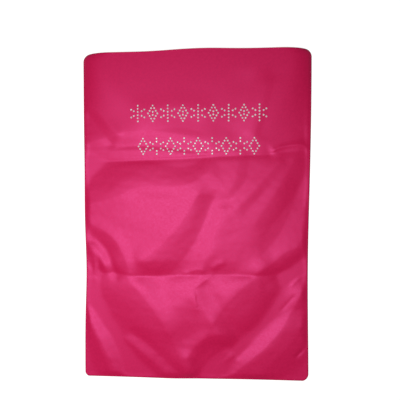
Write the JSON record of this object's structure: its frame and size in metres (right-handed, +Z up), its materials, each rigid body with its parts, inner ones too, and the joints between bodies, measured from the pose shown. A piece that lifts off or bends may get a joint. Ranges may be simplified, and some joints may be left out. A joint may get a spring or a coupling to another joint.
{
  "type": "skate bag",
  "caption": "Flat soft satin bag, sewn shut at the sides and foot, with a concealed coil zip across the mouth and rows of set crystals on the front.",
  "frame": {"origin": "middle of the footprint, on the surface that the bag lies on", "axes": "+X across the bag, +Y from the foot seam to the mouth, +Z up through the front panel"},
  "size_m": [0.45, 0.66, 0.0187],
  "materials": {
    "satin": "satin weave, soft sheen",
    "binding": "woven, matt",
    "zip_tape": "woven, matt",
    "thread": "spun thread",
    "zip_coil": "dyed nylon",
    "zip_metal": "nickel plated",
    "crystal": "faceted, foil backed"
  },
  "bodies": {
    "bag": {"back_panel": "satin", "front_panel": "satin", "seam_binding": "binding", "zip_tape_back": "zip_tape", "zip_tape_front": "zip_tape", "zip_coil_back": "zip_coil", "zip_coil_front": "zip_coil", "zip_top_stop_back": "zip_metal", "zip_top_stop_front": "zip_metal", "zip_bottom_stop": "zip_metal", "zip_end_tab_left": "satin", "zip_end_tab_right": "satin", "upper_crystals": "crystal", "lower_crystals": "crystal", "back_tape_stitches": "thread", "front_tape_stitches": "thread"},
    "slider": {"slider_body": "zip_metal"},
    "pull": {"pull_tab": "zip_metal"}
  },
  "joints": [
    {"name": "zip_slide", "type": "slide", "parent": "bag", "child": "slider", "axis": [1, 0, 0], "range_m": [0, 0.343]},
    {"name": "pull_hinge", "type": "hinge", "parent": "slider", "child": "pull", "pos_m": [-0.1717, 0.32175, 0.0078], "axis": [0, 0, 1], "range_deg": [0, 170]}
  ]
}
